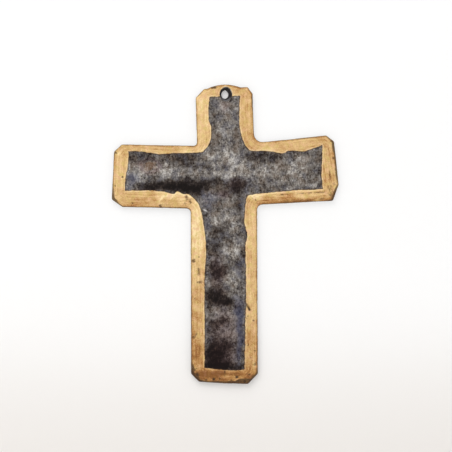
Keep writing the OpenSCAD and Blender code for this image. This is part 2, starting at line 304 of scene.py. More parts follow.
def section(node, depth):
    """The outline where the plane y = -depth cuts a CAD node, anticlockwise from its top."""
    bm = bmesh.new()
    bm.from_mesh(node.data)
    bmesh.ops.remove_doubles(bm, verts=bm.verts, dist=0.0001 * MM)
    cut = bmesh.ops.bisect_plane(bm, geom=[*bm.verts, *bm.edges, *bm.faces],
                                 plane_co=(0, -depth * MM, 0), plane_no=(0, 1, 0))["geom_cut"]
    beside = {v: [] for v in cut if isinstance(v, bmesh.types.BMVert)}
    for edge in cut:
        if isinstance(edge, bmesh.types.BMEdge):
            a, b = edge.verts
            beside[a].append(b)
            beside[b].append(a)
    here = max(beside, key=lambda v: v.co.z)
    loop = []
    while here is not None:
        loop.append((here.co.x / MM, here.co.z / MM))
        near = beside.pop(here)
        here = next((v for v in near if v in beside), None)
    bm.free()
    loop = np.array(loop)
    onward = np.roll(loop, -1, axis=0)
    area = (loop[:, 0] * onward[:, 1] - onward[:, 0] * loop[:, 1]).sum()
    return loop if area > 0 else np.roll(loop[::-1], 1, axis=0)


def simplified(loop, allowed):
    """The loop without the points that lie within `allowed` of the line past them."""
    kept = list(loop)
    while True:
        a, b, c = np.roll(kept, 1, axis=0), np.array(kept), np.roll(kept, -1, axis=0)
        u, w = c - a, b - a
        height = abs(u[:, 0] * w[:, 1] - u[:, 1] * w[:, 0]) / np.hypot(*u.T)
        k = int(height.argmin())
        if height[k] > allowed:
            return np.array(kept)
        kept.pop(k)


class Side:
    """One straight side of the plate. at(out, inward) is the point that far out along it."""

    def __init__(self, origin, out, inward):
        self.origin, self.out, self.inward = origin, out, inward

    def at(self, out, inward):
        return self.origin + out * self.out + inward * self.inward


def find_sides(loop):
    """The plate's straight sides by name, and the centre of the crossing."""
    corners = simplified(loop, corner_slack)
    ends = np.roll(corners, -1, axis=0)
    runs = [(a, b) for a, b in zip(corners, ends) if np.linalg.norm(b - a) > straight_side]
    if len(runs) != len(BORDER):
        raise ValueError(f"the outline has {len(runs)} straight sides, not {len(BORDER)}")
    sides = {}
    for name, (a, b) in zip(BORDER, runs):
        u = unit(b - a)
        sides[name] = Side((a + b) / 2, u, np.array([-u[1], u[0]]))
    crotches = []
    for names in STROKES:
        if len(names) == 1:
            continue
        one, two = (sides[name] for name in names)
        crotch = meet(one.origin, one.out, two.origin, two.out)
        crotches.append(crotch)
        for side in (one, two):
            if (side.origin - crotch) @ side.out < 0:
                side.out = -side.out
            side.origin = crotch
    return sides, np.mean(crotches, axis=0)


def curve_through(points, pitch=0.4):
    """A smooth open curve through the points (Catmull-Rom), without its last point."""
    p = np.array([2 * points[0] - points[1], *points, 2 * points[-1] - points[-2]])
    curve = []
    for a, b, c, d in zip(p, p[1:], p[2:], p[3:]):
        steps = max(1, round(np.linalg.norm(c - b) / pitch))
        for t in np.arange(steps) / steps:
            curve.append(0.5 * (2 * b + (c - a) * t + (2 * a - 5 * b + 4 * c - d) * t ** 2
                                + (3 * b - a - 3 * c + d) * t ** 3))
    return curve


def paint_edge():
    """The closed path of the border's inner edge, with sharp corners where the brush turned."""
    strokes = [[sides[name].at(*p) for name in names for p in BORDER[name]] for names in STROKES]
    path = []
    for k, points in enumerate(strokes):
        if len(STROKES[k]) == 1:
            points = [strokes[k - 1][-1], *points, strokes[(k + 1) % len(strokes)][0]]
        path += curve_through(points)
        if len(STROKES[k]) == 2 and len(STROKES[(k + 1) % len(STROKES)]) == 2:
            path.append(points[-1])
    return np.array(path)


def nearest_on(path, points):
    """For each point: the distance to a closed path, how far along it that is, if it is inside."""
    ahead = np.roll(path, -1, axis=0) - path
    length = np.linalg.norm(ahead, axis=1)
    start = run_along(path)
    tree = finder(path)
    near = np.array([tree.find((x, z, 0))[1] for x, z in points])
    inside = ((points - path[near]) * inward_of(path)[near]).sum(1) > 0
    gap, along = np.full(len(points), np.inf), np.zeros(len(points))
    for k in (near, near - 1):
        u = ahead[k]
        w = points - path[k]
        t = np.clip((w * u).sum(1) / length[k] ** 2, 0, 1)
        away = np.linalg.norm(w - t[:, None] * u, axis=1)
        along = np.where(away < gap, start[k] + t * length[k], along)
        gap = np.minimum(gap, away)
    return gap, along, inside


def run_along(points):
    """How far along a path each of its points is."""
    return np.concatenate([[0], np.cumsum(np.linalg.norm(np.diff(points, axis=0), axis=1))])


def respaced(loop, pitch):
    """Evenly spaced points round a closed loop."""
    closed = np.vstack([loop, loop[:1]])
    run = run_along(closed)
    at = np.linspace(0, run[-1], round(run[-1] / pitch) + 1)[:-1]
    return np.stack([np.interp(at, run, closed[:, k]) for k in (0, 1)], axis=1)


def inward_of(loop):
    """The unit vector into the plate at each point of its outline."""
    along = np.roll(loop, -1, axis=0) - np.roll(loop, 1, axis=0)
    return unit(np.stack([-along[:, 1], along[:, 0]], axis=1))


def hand_cut(loop):
    """The outline as the shears and file left it: gently uneven, with small nicks."""
    uneven = layered(loop, 5, 11) - 0.25
    nicks = eased(noise(loop, 1.3, 17), 0.55, 0.95)
    return loop - inward_of(loop) * (wobble * (uneven - 1.2 * nicks))[:, None]


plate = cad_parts["cross_plate"]
drawn_outline = section(plate, bore_depth)
sides, crossing = find_sides(drawn_outline)
outline = hand_cut(respaced(drawn_outline, outline_pitch))
rim_r = front_rim_r * (1 + 0.25 * layered(outline, 4, 95))
border = respaced(paint_edge(), path_pitch)
drawn_path = respaced(drawn_outline, path_pitch)
specks = [(sides[name].at(out, inward), radius, tone)
          for name, group in SPECKS.items() for out, inward, radius, tone in group]

# ---- what lies where on the front


def patched(at, patches):
    """The sum of soft patches at each point, as placed from the crossing."""
    total = np.zeros(len(at))
    for right, up, half_width, half_height, amount in patches:
        reach = ((at[:, 0] - right) / half_width) ** 2 + ((at[:, 1] - up) / half_height) ** 2
        total += amount * np.exp(-0.8 * reach ** 1.3)
    return total


def dish_edge(ways):
    """How far out the dish's uneven lip is in each direction, about 1."""
    return 1 + 0.02 * noise(ways, 0.5, 91)


def dish_reach(points):
    """How far out each point is in the dish round the hole: 0 at its centre, 1 at its lip."""
    out = (points - dish_centre) / dish_half
    return np.linalg.norm(out, axis=1) / dish_edge(unit(out))


def off_line(points, ends):
    """How far each point is from an open line through the ends."""
    gap = np.full(len(points), np.inf)
    for a, b in zip(ends, ends[1:]):
        t = np.clip((points - a) @ (b - a) / ((b - a) @ (b - a)), 0, 1)
        gap = np.minimum(gap, np.linalg.norm(points - a - t[:, None] * (b - a), axis=1))
    return gap


def read_front(points):
    """What the front is like at each point, as a dictionary of arrays.

    Besides the sums of the patches it has "painted", how far in under the paint a point is, "rim", how far
    from the plate's edge, "along", how far round it, "dirt_and_shadow", the specks and dark lines with the
    painted shadow under the fold, and "ridge_and_highlight", the raised pale lines, painted paler as
    highlights."""
    gap, _, inside = nearest_on(border, points)
    ragged = 0.13 * layered(points, 1.1, 51) + 0.08 * noise(points, 0.4, 57)
    painted = np.where(inside, -gap, gap) + ragged
    painted = np.minimum(painted, (dish_reach(points) - 1) * 2 + 0.15 * ragged)
    rim, along, _ = nearest_on(drawn_path, points)
    dirt_and_shadow = np.zeros(len(points))
    for centre, radius, tone in specks:
        away = np.linalg.norm(points - centre, axis=1) * (1 + 0.25 * noise(points, 0.45, 61))
        dirt_and_shadow = np.maximum(dirt_and_shadow, tone * eased(-away, -1.6 * radius, -0.4 * radius))
    ridge_and_highlight = np.zeros(len(points))
    # Dark lines darken the paint: scratches and drips, and under the fold on the left arm's underside a
    # painted shadow. Pale lines are raised ridges of paint, also painted paler as highlights.
    for tone, half_width, *ends in LINES:
        away = off_line(points, crossing + np.array(ends)) * (1 + 0.3 * noise(points, 0.7, 63))
        if tone > 0:
            faint = 0.7 + 0.5 * noise(points, 0.8, 65)
            dirt_and_shadow = np.maximum(dirt_and_shadow, tone * faint * bump_at(away, half_width))
        else:
            ridge_and_highlight = np.maximum(ridge_and_highlight, -tone * bump_at(away, half_width))
    warp = np.stack([layered(points, 3, 31), layered(points, 3, 41)], axis=1)
    at = points - crossing + warp * 0.9
    seen = {name: patched(at, patches) for name, patches in PATCHES.items()}
    # The ridges make the gold paler: a painted highlight on them.
    seen["age_and_sheen"] = seen["age_and_sheen"] + 0.12 * layered(points, 6, 71) - 0.35 * ridge_and_highlight
    return seen | dict(painted=painted, rim=rim, along=along, dirt_and_shadow=dirt_and_shadow, ridge_and_highlight=ridge_and_highlight)


def front_height(points, seen):
    """How far the front stands proud of its mean face, in mm."""
    hammered = 0.03 * noise(points, 9, 81) + 0.014 * noise(points, 3.6, 82)
    iron = 0.014 * layered(points, 0.9, 83) + 0.016 * np.minimum(0, noise(points, 0.7, 86) + 0.2)
    stroke = np.stack([seen["along"] * 0.12, seen["rim"]], axis=1)
    film = eased(seen["painted"], -0.06, 0.1)
    bead = bump_at(seen["painted"] - 0.22, 0.2)
    brushed = 0.014 * noise(stroke, 0.42, 87) + 0.008 * noise(stroke, 0.22, 88) + 0.03 * seen["ridge_and_highlight"]
    thinned = eased(seen["rim"], 0.1, 0.7)
    paint = film * (paint_film * (0.5 + 0.5 * thinned) + 0.022 * bead + brushed)
    pits = 0.04 * seen["dirt_and_shadow"] * film
    burr = lip * bump_at(dish_reach(points) - 1.02, 0.1)
    return hammered + iron * (1 - 0.75 * film) + paint - pits + burr


# ---- the plate's mesh


class Shell:
    """Collects the plate's points and faces, and each face's place on the bake's map."""

    width = 152  # millimetres across the map: the front on its left, the back on its right
    first_row = 99  # where the rows of wall start, above the front and the back
    row_width, row_height, row_pitch = 150, 1.28, 1.6

    def __init__(self):
        self.points, self.faces, self.finishes, self.places = [], [], [], []
        self.low = outline.min(0) - 1
        self.row = 0

    def ring(self, plan, depth):
        """Adds the points of one ring and returns their numbers. depth is in front of y = 0."""
        first = len(self.points)
        depth = np.broadcast_to(depth, len(plan))
        self.points += [(x, -y, z) for (x, z), y in zip(plan, depth)]
        return range(first, len(self.points))

    def on_front(self, number):
        x, _, z = self.points[number]
        return (x - self.low[0]) / self.width, (z - self.low[1]) / self.width

    def on_back(self, number):
        u, v = self.on_front(number)
        return 1 - u, v

    def in_rows(self, start, stop):
        """The corners of a stretch of wall, from start to stop along its ring."""
        line = int(start / self.row_width)
        left, right = start - line * self.row_width, stop - line * self.row_width
        low = self.first_row + (self.row + line) * self.row_pitch
        high = low + self.row_height
        corners = ((left, low), (right, low), (right, high), (left, high))
        return [(u / self.width, v / self.width) for u, v in corners]

    def add(self, face, finish, places):
        self.faces.append(face)
        self.finishes.append(finish)
        self.places += places

    def band(self, behind, before, finish, bore=False, chart=None):
        """Quads between a ring and the one in front of it. Without a chart they lie in new rows."""
        run = run_along([self.points[k] for k in [*behind, behind[0]]])
        for i in range(len(behind)):
            j = (i + 1) % len(behind)
            face = [behind[i], behind[j], before[j], before[i]]
            places = [chart(k) for k in face] if chart else self.in_rows(run[i], run[i + 1])
            if bore:
                face, places = face[::-1], places[::-1]
            self.add(face, finish, places)
        if chart is None:
            self.row += math.ceil(run[-1] / self.row_width)


def lattice(loop, pitch):
    """Points of a triangular lattice inside a closed loop."""
    a, b = loop, np.roll(loop, -1, axis=0)
    rows = []
    step = pitch * math.sqrt(3) / 2
    low = loop.min(0)
    for k, z in enumerate(np.arange(low[1] + step / 2, loop[:, 1].max(), step)):
        crossed = (a[:, 1] > z) != (b[:, 1] > z)
        p, q = a[crossed], b[crossed]
        cuts = np.sort(p[:, 0] + (z - p[:, 1]) * (q[:, 0] - p[:, 0]) / (q[:, 1] - p[:, 1]))
        grid = np.arange(low[0] + (k % 2) * pitch / 2, loop[:, 0].max(), pitch)
        inside = np.searchsorted(cuts, grid) % 2 == 1
        rows.append(np.stack([grid[inside], np.full(inside.sum(), z)], axis=1))
    points = np.vstack(rows)
    return points + 0.12 * pitch * np.random.default_rng(5).uniform(-1, 1, points.shape)


def apart_from(points, others, gap):
    """The points that lie at least gap from every one of the others."""
    tree = finder(others)
    return np.array([(x, z) for x, z in points if tree.find((x, z, 0))[2] > gap])


def triangles(loops, free):
    """Fills between an outer loop and any holes in it, through the free points.

    Gives the triangles as numbers into the points of all the loops and then the free ones."""
    points = np.vstack([*loops, free])
    edges, first = [], 0
    for loop in loops:
        last = first + len(loop) - 1
        edges += [(k, k + 1) for k in range(first, last)] + [(last, first)]
        first = last + 1
    on_loops = first
    _, _, faces, came_from, _, _ = geometry.delaunay_2d_cdt(
        [Vector(p) for p in points], edges, [], 0, 1e-6)
    number = [(sources or [-1])[0] for sources in came_from]
    faces = [[number[k] for k in face] for face in faces]
    edge_on = [face for face in faces if max(face) < on_loops]
    middles = np.array([points[face].mean(0) for face in edge_on])
    inside = nearest_on(loops[0], middles)[2]
    for hole in loops[1:]:
        inside &= ~nearest_on(hole, middles)[2]
    kept = [face for face in faces if max(face) >= on_loops]
    return points, kept + [face for face, within in zip(edge_on, inside) if within]


def speck_points():
    """Rings of points round each speck, so that its pit has a clean shape."""
    around = []
    for centre, radius, _ in specks:
        around.append(centre)
        for share, count in ((0.5, 6), (1, 10), (1.5, 14)):
            around += list(centre + radius * share * circle(count))
    around = np.array(around)
    kept = around[:1]
    for p in around[1:]:
        if np.linalg.norm(kept - p, axis=1).min() > 0.09:
            kept = np.vstack([kept, p])
    return kept


def hole_ring():
    """The edge of the hole, which is narrower near its top."""
    across, up = circle(hole_points).T
    narrowed = 1 - hole_narrows * np.clip(up, 0, 1) ** 1.5
    return hole_r * np.stack([across * narrowed, hole_tall * up], axis=1)


def dish_ring(share):
    """A ring between the hole's edge (share 0) and the dish's lip (share 1)."""
    ways = circle(hole_points)
    outer = dish_centre + dish_half * ways * dish_edge(ways)[:, None]
    return hole_ring() * (1 - share) + outer * share


PAINTED, BARE = 0, 1  # places in the plate's list of materials


def front_plan():
    """The front face's points and triangles. The rim's points come first, then the dish's lip."""
    rim_top = outline + inward_of(outline) * rim_r[:, None]
    lip_ring = dish_ring(1)
    outside = [dish_centre + (lip_ring - dish_centre) * share for share in collar]
    loops = np.vstack([rim_top, lip_ring, *outside])
    pitted = apart_from(speck_points(), loops, 0.12)
    pitted = pitted[nearest_on(rim_top, pitted)[2]]
    edge = respaced(border, front_pitch)
    ledge = np.vstack([edge + inward_of(edge) * step for step in ledge_steps])
    ledge = ledge[dish_reach(ledge) > 1.12]
    ledge = apart_from(ledge, np.vstack([loops, pitted]), 0.1)
    ledge = ledge[nearest_on(rim_top, ledge)[2]]
    inner = lattice(rim_top, front_pitch)
    inner = inner[dish_reach(inner) > 1.08]
    inner = apart_from(inner, np.vstack([loops, pitted, ledge]), 0.6 * front_pitch)
    return triangles([rim_top, lip_ring], np.vstack([*outside, pitted, ledge, inner]))


def build_plate():
    """The whole plate as one closed shell."""
    shell = Shell()
    inward = inward_of(outline)
    run = np.arange(len(outline)) * 0.7
    striae = 0.018 * noise(np.stack([run, np.zeros(len(run))], axis=1), 1, 93)

    # The front face first, because the rim and the dish take its height.
    points, faces = front_plan()
    height = front_face + front_height(points, read_front(points))
    front = shell.ring(points, height)
    for face in faces:
        face = [front[k] for k in face]
        shell.add(face, PAINTED, [shell.on_front(k) for k in face])
    rim, dish_lip = slice(len(outline)), slice(len(outline), len(outline) + hole_points)

    # The rounded front rim, the sheared wall and the rounded back rim, from front to back.
    before = front[rim]
    for k in range(1, front_rim_flats + 1):
        turn = math.pi / 2 * (1 - k / front_rim_flats)
        step_in = rim_r * (1 - math.cos(turn)) + striae * (1 - math.sin(turn))
        depth = height[rim] - rim_r * (1 - math.sin(turn))
        behind = shell.ring(outline + inward * step_in[:, None], depth)
        shell.band(behind, before, PAINTED, chart=shell.on_front if k <= flats_on_front else None)
        before = behind
    for k, depth in enumerate((*wall_depths, back_rim_r)):
        dent = 0.015 * noise(outline, 0.8, 96 + k)
        behind = shell.ring(outline + inward * (striae + dent)[:, None], depth)
        shell.band(behind, before, BARE)
        before = behind
    for k in range(1, back_rim_flats + 1):
        turn = math.pi / 2 * k / back_rim_flats
        rim_back = outline + inward * (striae + back_rim_r * (1 - math.cos(turn)))[:, None]
        behind = shell.ring(rim_back, back_rim_r * (1 - math.sin(turn)))
        shell.band(behind, before, BARE, chart=shell.on_back)
        before = behind
    back_rim = before

    # The dish, the straight hole and its back edge.
    before = front[dish_lip]
    for k in range(1, dish_rings + 1):
        share = 1 - k / dish_rings
        plan = dish_ring(share)
        drop = (1 - share) ** 0.8
        depth = height[dish_lip] * (1 - drop) + dish_bottom * drop + 0.012 * noise(plan, 0.4, 101)
        behind = shell.ring(plan, depth)
        shell.band(behind, before, PAINTED, bore=True, chart=shell.on_front)
        before = behind
    for flare, depth in zip(bore_flare, (bore_depth, back_rim_r, 0)):
        hole_back = hole_ring() * flare
        behind = shell.ring(hole_back, depth)
        shell.band(behind, before, BARE, bore=True)
        before = behind

    # The flat back, dented a little inwards so that it still rests on what it hangs against.
    inner = lattice(rim_back, back_pitch)
    inner = inner[np.hypot(*inner.T) > hole_r * 1.25]
    inner = apart_from(inner, np.vstack([rim_back, hole_back]), 0.6 * back_pitch)
    faces = triangles([rim_back, hole_back], inner)[1]
    dents = 0.02 * (1 + noise(inner, 5, 103)) + 0.02 * np.maximum(0, noise(inner, 1.2, 104) - 0.2)
    flat = [*back_rim, *behind, *shell.ring(inner, dents)]
    for face in faces:
        face = [flat[k] for k in face][::-1]
        shell.add(face, BARE, [shell.on_back(k) for k in face])
    return shell


def read_plate(points):
    """What the plate is like at each point, for its materials."""
    plan, depth = points[:, [0, 2]], -points[:, 1]
    seen = read_front(plan)
    on_top = outline + inward_of(outline) * front_rim_r * 0.7
    inside = nearest_on(on_top, plan)[2]
    below = np.clip(front_face - 0.05 - depth, 0, None)
    seen["rim"] = np.where(inside, seen["rim"], seen["rim"] - below)
    in_hole = dish_reach(plan) < 1.001
    seen["painted"] = np.where(in_hole, -1, seen["painted"])
    # Painted shade in the dish round the hole, darker the deeper in it lies.
    seen["dish_shade"] = np.where(in_hole, np.clip(front_face - depth + 0.1, 0, 1), 0)
    # A painted highlight on the dish's lower side, which faces up towards the light.
    low_side = eased(-unit(plan - dish_centre)[:, 1], 0.35, 0.95)
    seen["dish_highlight"] = in_hole * low_side * bump_at(dish_reach(plan) - 0.84, 0.1) * 0.6
    # A painted highlight: the glint on the iron beside the left crotch.
    first, last = (sides[name].at(out, inward) for name, out, inward in GLINT)
    middle, along = (first + last) / 2, unit(last - first)
    across = abs((plan - middle) @ np.array([-along[1], along[0]]))
    from_middle = np.linalg.norm(plan - middle, axis=1)
    reach = 0.55 * np.linalg.norm(last - first)
    seen["glint"] = eased(-across, -0.22, -0.08) * bump_at(from_middle, reach)
    return seen


def add_object(name, data, place=(0, 0, 0)):
    """A new object in the scene, with its own origin at a place in mm."""
    ob = bpy.data.objects.new(name, data)
    ob.location = Vector(place) * MM
    bpy.context.scene.collection.objects.link(ob)
    return ob


def plate_object(shell):
    """The plate's object, with what is where on it as attributes of its mesh."""
    points = np.array(shell.points)
    me = bpy.data.meshes.new("iron_cross")
    me.from_pydata((points * MM).tolist(), [], shell.faces)
    me.polygons.foreach_set("material_index", shell.finishes)
    me.shade_smooth()
    layer = me.uv_layers.new(name="OFBake")
    layer.uv.foreach_set("vector", np.array(shell.places, np.float32).ravel())
    for name, values in read_plate(points).items():
        attribute = me.attributes.new(name, "FLOAT", "POINT")
        attribute.data.foreach_set("value", values.astype(np.float32))
    me.validate()
    me.update()
    return add_object("iron_cross", me)


# ---- materials


def srgb(red, green, blue):
    """A colour as it looks on a screen, from 0 to 255, as linear light."""
    def linear(c):
        c /= 255
        return c / 12.92 if c <= 0.04045 else ((c + 0.055) / 1.055) ** 2.4
    return (linear(red), linear(green), linear(blue), 1)


class Nodes:
    """A material's or world's nodes, made by short calls. Inputs are sockets or plain values."""

    def __init__(self, owner):
        self.owner = owner
        owner.use_nodes = True
        self.tree = owner.node_tree
        self.tree.nodes.clear()

    def make(self, kind, inputs=None, **settings):
        """Makes a node, feeds its inputs by name or number, and returns its outputs."""
        node = self.tree.nodes.new(kind)
        for name, value in settings.items():
            setattr(node, name, value)
        for name, value in (inputs or {}).items():
            if isinstance(value, bpy.types.NodeSocket):
                self.tree.links.new(value, node.inputs[name])
            else:
                node.inputs[name].default_value = value
        return node.outputs

    def math(self, operation, *values):
        return self.make("ShaderNodeMath", dict(enumerate(values)), operation=operation)[0]

    def product(self, first, second):
        return self.math("MULTIPLY", first, second)

    def sum(self, *terms):
        """Adds up (value, weight) pairs and plain values."""
        total = None
        for term in terms:
            value = self.product(*term) if isinstance(term, tuple) else term
            total = value if total is None else self.math("ADD", total, value)
        return total

    def ease(self, value, low, high, start=0, stop=1):
        """A smooth change from start at low to stop at high. low may be the larger one."""
        return self.make("ShaderNodeMapRange", {
            "Value": value, "From Min": low, "From Max": high, "To Min": start, "To Max": stop,
        }, interpolation_type="SMOOTHSTEP")[0]

    def mix(self, share, first, second):
        """A colour between two, by the share of the second."""
        inputs = {0: share, 6: first, 7: second}
        return self.make("ShaderNodeMix", inputs, data_type="RGBA", clamp_factor=True)[2]

    def ramp(self, value, *stops):
        """A ramp through stops, each a place and the red, green and blue of a screen colour."""
        colour = self.make("ShaderNodeValToRGB", {"Fac": value})["Color"]
        marks = colour.node.color_ramp.elements
        while len(marks) < len(stops):
            marks.new(0.5)
        for mark, (place, *shown) in zip(marks, stops):
            mark.position = place
            mark.color = srgb(*shown)
        return colour

    def attribute(self, name):
        return self.make("ShaderNodeAttribute", attribute_name=name)["Fac"]

    def here(self, offset=0, stretch=(1, 1, 1)):
        """The place on the object, in millimetres."""
        place = self.make("ShaderNodeTexCoord")["Object"]
        scale = [share / MM for share in stretch]
        inputs = {"Vector": place, "Scale": scale, "Location": (offset,) * 3}
        return self.make("ShaderNodeMapping", inputs)[0]

    def grain(self, size, detail=2, rough=0.5, at=None, offset=0):
        """Noise from 0 to 1 in lumps about `size` millimetres across."""
        at = self.here(offset) if at is None else at
        inputs = {"Vector": at, "Scale": 1 / size, "Detail": detail, "Roughness": rough}
        return self.make("ShaderNodeTexNoise", inputs, noise_dimensions="3D")["Fac"]

    def sees_background(self):
        """1 for the rays that show a background: from the camera, off metal or through glass."""
        path = self.make("ShaderNodeLightPath")
        seen = path["Is Camera Ray"]
        for name in ("Is Glossy Ray", "Is Transmission Ray"):
            seen = self.math("MAXIMUM", seen, path[name])
        return seen

    def distance(self, start, stop):
        inputs = {0: start, 1: stop}
        return self.make("ShaderNodeVectorMath", inputs, operation="DISTANCE")["Value"]

    def shader(self, kind, **inputs):
        return self.make(kind, inputs)[0]

    def blend(self, share, first, second):
        """A shader between two, by the share of the second."""
        return self.make("ShaderNodeMixShader", {0: share, 1: first, 2: second})[0]

    def end(self, shader, kind="ShaderNodeOutputMaterial"):
        """Ends the nodes with this shader and returns what they belong to."""
        self.make(kind, {"Surface": shader})
        return self.owner

    def metal(self, colour, roughness, metallic, height, bump_mm, specular):
        """Ends the nodes with a metal or painted surface, bumped by a height."""
        bump = {"Height": height, "Distance": bump_mm * MM, "Strength": 1.0}
        return self.end(self.make("ShaderNodeBsdfPrincipled", {
            "Base Color": colour, "Roughness": roughness, "Metallic": metallic,
            "Specular IOR Level": specular, "Normal": self.make("ShaderNodeBump", bump)[0],
        })[0])


def iron_colour(n, tone, blue, brown):
    """Bare iron: near-black scale, grey metal and pale flecks, with temper and rust tints."""
    fine = n.grain(0.55, 2, 0.65)
    wiped = n.grain(0.45, 2, 0.6, at=n.here(23, (1, 1, 0.3)))
    mottle = n.grain(1.5, 3, 0.6, offset=7)
    cloud = n.grain(4, offset=19)
    uneven = n.sum((fine, 0.92), (wiped, 0.5), (mottle, 0.92), (cloud, 0.6), -1.47)
    pitted = n.product(n.ease(n.grain(0.33, 1, offset=29), 0.58, 0.7), n.ease(tone, 0, 0.8, 0.12, 0.5))
    contrast = n.ease(tone, -1.4, 0.9, 0.6, 1.35)
    light = n.sum((tone, 0.39), (uneven, contrast), (pitted, -1), 0.545)
    colour = n.ramp(light, (0, 17, 11, 9), (0.12, 34, 26, 23), (0.25, 56, 48, 44),
                    (0.47, 98, 92, 87), (0.72, 142, 136, 130), (1, 200, 195, 188))
    hue = n.sum((n.grain(2.4, 1, offset=31), 0.75), (n.grain(0.8, 1, offset=33), 0.25))
    tint = n.ease(light, 0.05, 0.5, 0, 0.28)
    colour = n.mix(n.product(n.ease(hue, 0.5, 0.66), tint), colour, srgb(70, 76, 98))
    colour = n.mix(n.product(n.ease(hue, 0.5, 0.34), tint), colour, srgb(116, 94, 74))
    plum = n.ramp(light, (0, 22, 8, 8), (0.25, 58, 42, 41), (0.7, 134, 116, 114))
    faint_rust = n.product(n.ease(brown, 0, 0.4, 0, 0.7), n.ease(brown, 0.75, 0.4))
    colour = n.mix(faint_rust, colour, plum)
    tint = n.ease(light, 0, 0.4, 0.15, 0.5)
    blued = n.ease(n.sum(blue, (mottle, 1.3), -0.62), 0.1, 0.9)
    colour = n.mix(n.product(blued, tint), colour, srgb(58, 65, 94))
    rusted = n.ease(n.sum(brown, (mottle, 2), -1.3), 0.1, 0.9)
    return n.mix(n.product(rusted, tint), colour, srgb(118, 82, 48)), fine, mottle


def gold_colour(n, age_and_sheen, rim, stroke):
    """Ochre-gold paint, streaked along the brush, browned where it thins at the rim."""
    streak = n.grain(0.55, 2, 0.6, at=stroke)
    fine = n.grain(0.3, 2, 0.6, offset=41)
    cloud = n.grain(2.6, 3, 0.55, offset=47)
    thin = n.ease(rim, 0.9, 0.1, 0, 0.22)
    # How deep the gold's colour is, made paler by painted sheen and highlights where those lie.
    depth = n.sum(age_and_sheen, thin, (streak, 0.8), (cloud, 0.8), (fine, 0.65), -0.61)
    colour = n.ramp(depth, (0, 250, 225, 174), (0.3, 233, 199, 142),
                    (0.55, 210, 171, 116), (0.8, 178, 127, 73), (1, 134, 86, 44))
    hue = n.grain(1.4, offset=67)
    pale = n.ease(depth, 0.8, 0.4, 0.1, 0.55)
    colour = n.mix(n.product(n.ease(hue, 0.52, 0.68), pale), colour, srgb(226, 178, 140))
    colour = n.mix(n.product(n.ease(hue, 0.48, 0.32), pale), colour, srgb(208, 184, 106))
    return colour, streak, fine


def painted_front():
    """The front: bare iron inside, gold paint round it, worn to dark metal along the rim, with painted
    shade in the dish round the hole, painted highlights on the dish, on ridges of paint and along the
    paint's inner edge, and a painted glint beside the left crotch.
    """
    n = Nodes(bpy.data.materials.new("painted_iron_front"))
    painted, rim, dirt_and_shadow, age_and_sheen, wear = map(n.attribute, ("painted", "rim", "dirt_and_shadow", "age_and_sheen", "wear"))
    iron, fine, mottle = iron_colour(n, *map(n.attribute, ("tone", "blue", "brown")))
    iron = n.mix(n.ease(painted, -0.55, -0.02, 0, 0.6), iron, srgb(64, 46, 34))
    # Painted shade in the dish round the hole, darker the deeper in.
    iron = n.mix(n.ease(n.attribute("dish_shade"), 0, 0.25, 0, 0.95), iron, srgb(33, 29, 29))
    # A painted highlight on the dish's lower side.
    iron = n.mix(n.attribute("dish_highlight"), iron, srgb(132, 130, 132))
    # A painted highlight: the glint beside the left crotch.
    iron = n.mix(n.attribute("glint"), iron, srgb(232, 230, 228))

    stroke = n.make("ShaderNodeCombineXYZ", {0: n.product(n.attribute("along"), 0.1), 1: rim})[0]
    gold, streak, grit = gold_colour(n, age_and_sheen, rim, stroke)
    # A painted highlight along the raised inner edge of the paint.
    edge_highlight = n.product(n.ease(painted, 0, 0.12), n.ease(painted, 0.55, 0.25))
    edge_highlight = n.product(edge_highlight, n.ease(age_and_sheen, 0.25, 0.05, 0.15, 1))
    edge_highlight = n.product(edge_highlight, n.ease(mottle, 0.35, 0.65, 0, 0.55))
    gold = n.mix(edge_highlight, gold, srgb(248, 224, 178))
    worn = n.sum(rim, (n.grain(0.9, 3, 0.6, offset=53), -0.9), (wear, -0.75))
    worn_metal = n.mix(wear, srgb(114, 94, 62), srgb(48, 41, 34))
    gold = n.mix(n.ease(worn, 0, -0.45, 0, 0.8), gold, worn_metal)
    flecks = n.ease(n.grain(0.42, 1, 0.4, offset=59), 0.73, 0.79, 0, 0.55)
    gold = n.mix(flecks, gold, srgb(120, 84, 52))
    # Specks and dark lines darken the gold: rust, dirt and scale, and under the fold on the left arm's
    # underside a painted shadow.
    dirt_and_shadow_share = n.ease(n.sum(dirt_and_shadow, (grit, 0.9), -0.45), 0.15, 0.95, 0, 0.9)
    gold = n.mix(dirt_and_shadow_share, gold, n.mix(n.ease(dirt_and_shadow, 0.8, 1.25), srgb(102, 73, 43), srgb(36, 28, 26)))

    cover = n.ease(n.sum(painted, (fine, 0.16), -0.08), -0.05, 0.05)
    rough = n.sum((cover, -0.1), (fine, 0.2), 0.52)
    brushed = n.product(cover, n.sum((streak, 0.7), (fine, -0.45)))
    height = n.sum((fine, 0.5), (mottle, 0.6), brushed)
    metallic = n.sum((cover, -0.12), 0.25)
    return n.metal(n.mix(cover, iron, gold), rough, metallic, height, bump_mm=0.035, specular=0.15)


